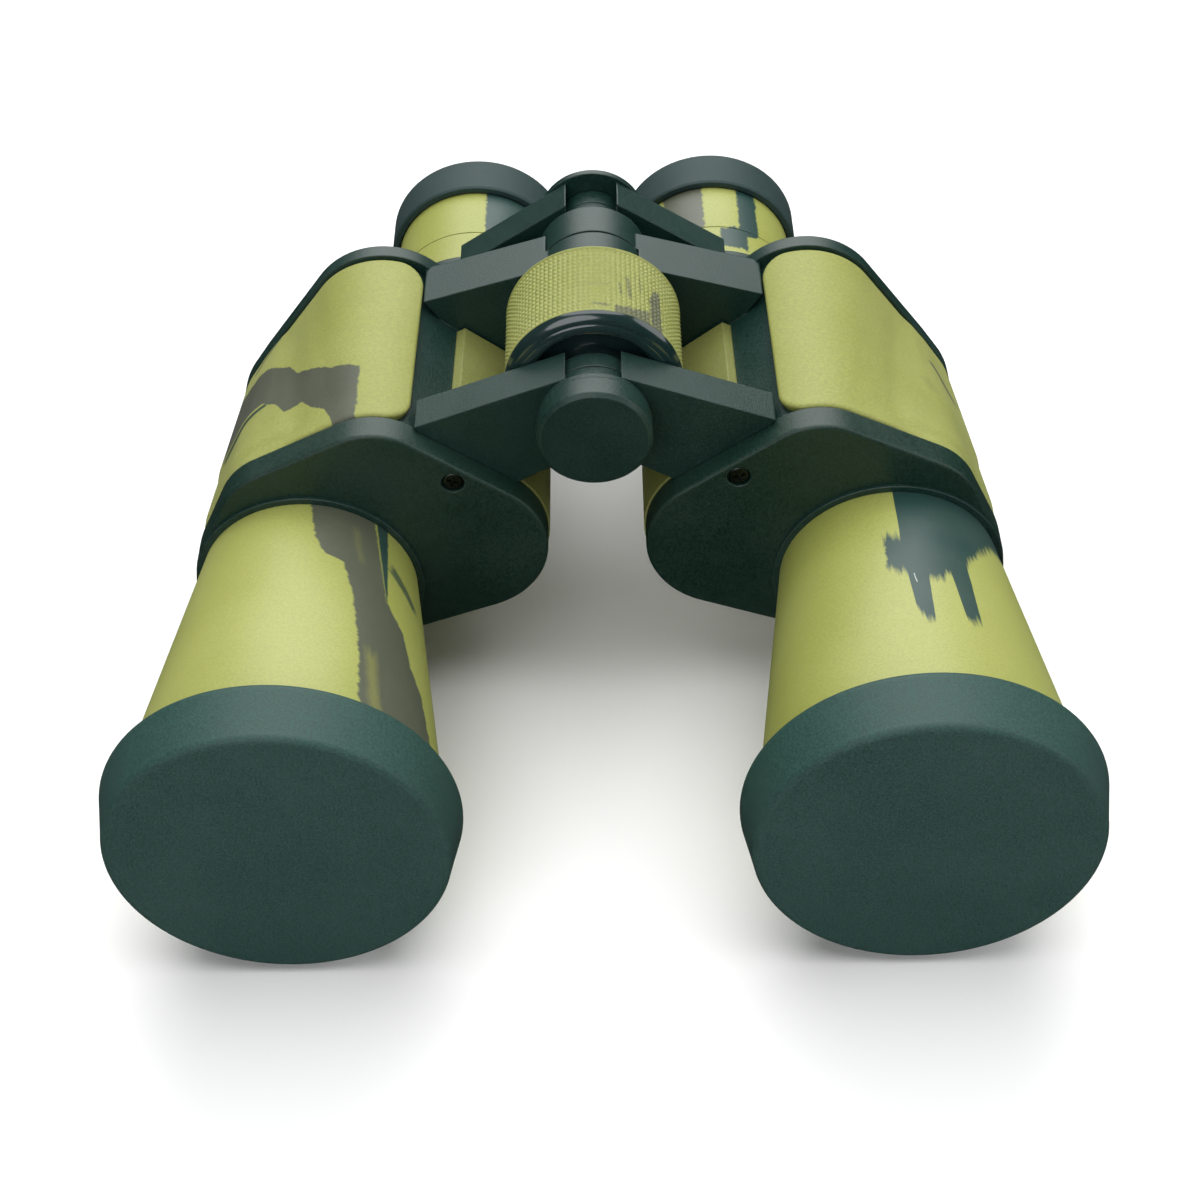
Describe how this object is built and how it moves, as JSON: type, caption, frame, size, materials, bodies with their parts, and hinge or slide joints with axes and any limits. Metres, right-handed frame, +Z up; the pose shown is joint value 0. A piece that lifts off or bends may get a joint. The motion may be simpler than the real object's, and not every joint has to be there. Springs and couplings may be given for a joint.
{
  "type": "binoculars",
  "caption": "Porro-prism binoculars with centre focus, hinged camouflage halves, slip-on objective caps and rubber eyecups.",
  "frame": {"origin": "middle of the underside of the box round the binoculars, which is level with the lowest points of the objective caps", "axes": "+Y along the optical axes towards the eyepieces, +X to the right as seen by the user, +Z up, hinge axis level"},
  "size_m": [0.1832, 0.1849, 0.0885],
  "materials": {
    "dark_plastic": "fine-grained satin",
    "camo_rubber": "matte, moulded",
    "camo_paint": "satin",
    "glossy_plastic": "glossy",
    "eyecup_rubber": "matte",
    "optical_glass": "polished, coated",
    "steel": "bright",
    "brass": "machined",
    "anodised_aluminium": "black anodised"
  },
  "bodies": {
    "left_half": {"left_prism_housing": "dark_plastic", "left_front_plate": "dark_plastic", "left_rear_plate": "dark_plastic", "left_outer_armour": "camo_rubber", "left_inner_armour": "camo_rubber", "left_objective_barrel": "camo_paint", "left_barrel_joint_ring": "dark_plastic", "left_objective_crown_lens": "optical_glass", "left_objective_flint_lens": "optical_glass", "left_objective_retaining_ring": "anodised_aluminium", "left_rear_prism": "optical_glass", "left_front_prism": "optical_glass", "left_prism_clips": "steel", "left_prism_shelf": "anodised_aluminium", "left_cover_screws": "steel", "left_eyepiece_guide": "anodised_aluminium", "tripod_socket_pin": "brass", "hinge_tube": "anodised_aluminium"},
    "right_half": {"right_prism_housing": "dark_plastic", "right_front_plate": "dark_plastic", "right_rear_plate": "dark_plastic", "right_outer_armour": "camo_rubber", "right_inner_armour": "camo_rubber", "right_objective_barrel": "camo_paint", "right_barrel_joint_ring": "dark_plastic", "right_objective_crown_lens": "optical_glass", "right_objective_flint_lens": "optical_glass", "right_objective_retaining_ring": "anodised_aluminium", "right_rear_prism": "optical_glass", "right_front_prism": "optical_glass", "right_prism_clips": "steel", "right_prism_shelf": "anodised_aluminium", "right_cover_screws": "steel", "right_eyepiece_guide": "anodised_aluminium"},
    "focus_wheel": {"focus_wheel": "glossy_plastic", "focus_wheel_grip": "camo_rubber"},
    "left_eyepiece": {"left_ocular_arm": "dark_plastic", "left_eyepiece_tube": "camo_paint", "left_eyepiece_head": "camo_paint", "left_eyepiece_cell": "anodised_aluminium", "left_field_lens": "optical_glass", "left_lens_spacer": "anodised_aluminium", "left_eye_lens": "optical_glass", "left_cell_retaining_ring": "anodised_aluminium", "left_eyecup": "eyecup_rubber", "focus_spindle": "steel", "ocular_bridge_disc": "dark_plastic"},
    "right_eyepiece": {"right_ocular_arm": "dark_plastic", "right_eyepiece_tube": "camo_paint"},
    "dioptre_ring": {"right_dioptre_ring": "camo_paint"},
    "right_eyepiece_cell": {"right_eyepiece_cell": "anodised_aluminium", "right_field_lens": "optical_glass", "right_lens_spacer": "anodised_aluminium", "right_eye_lens": "optical_glass", "right_cell_retaining_ring": "anodised_aluminium", "right_eyecup": "eyecup_rubber"},
    "left_objective_cap": {"left_objective_cap": "dark_plastic"},
    "right_objective_cap": {"right_objective_cap": "dark_plastic"},
    "hinge_cap": {"hinge_cap": "dark_plastic"}
  },
  "joints": [
    {"name": "interpupillary_hinge", "type": "hinge", "parent": "left_half", "child": "right_half", "pos_m": [0, 0.02295, 0.0708], "axis": [0, -1, 0], "range_deg": [-6, 50]},
    {"name": "focus_wheel_turn", "type": "hinge", "parent": "left_half", "child": "focus_wheel", "pos_m": [0, 0.00695, 0.0708], "axis": [0, 1, 0], "range_deg": [-148, 258]},
    {"name": "left_focus_slide", "type": "slide", "parent": "left_half", "child": "left_eyepiece", "axis": [0, 1, 0], "range_m": [-0.0036, 0.0063]},
    {"name": "right_focus_slide", "type": "slide", "parent": "right_half", "child": "right_eyepiece", "axis": [0, 1, 0], "range_m": [-0.0036, 0.0063]},
    {"name": "dioptre_turn", "type": "hinge", "parent": "right_eyepiece", "child": "dioptre_ring", "pos_m": [0.0268, 0.07295, 0.0417], "axis": [0, 1, 0], "range_deg": [-61.5, 61.5]},
    {"name": "dioptre_slide", "type": "slide", "parent": "right_eyepiece", "child": "right_eyepiece_cell", "axis": [0, 1, 0], "range_m": [-0.0015, 0.0015]},
    {"name": "left_cap_pull", "type": "slide", "parent": "left_half", "child": "left_objective_cap", "axis": [0, -1, 0], "range_m": [0, 0.03]},
    {"name": "right_cap_pull", "type": "slide", "parent": "right_half", "child": "right_objective_cap", "axis": [0, -1, 0], "range_m": [0, 0.03]},
    {"name": "hinge_cap_pull", "type": "slide", "parent": "left_half", "child": "hinge_cap", "axis": [0, -1, 0], "range_m": [0, 0.012]}
  ],
  "couplings": [
    {"joint": "focus_wheel_turn", "follows": "left_focus_slide", "rad_per_m": 714.29},
    {"joint": "right_focus_slide", "follows": "left_focus_slide", "ratio": 1},
    {"joint": "dioptre_turn", "follows": "dioptre_slide", "rad_per_m": 714.29}
  ]
}
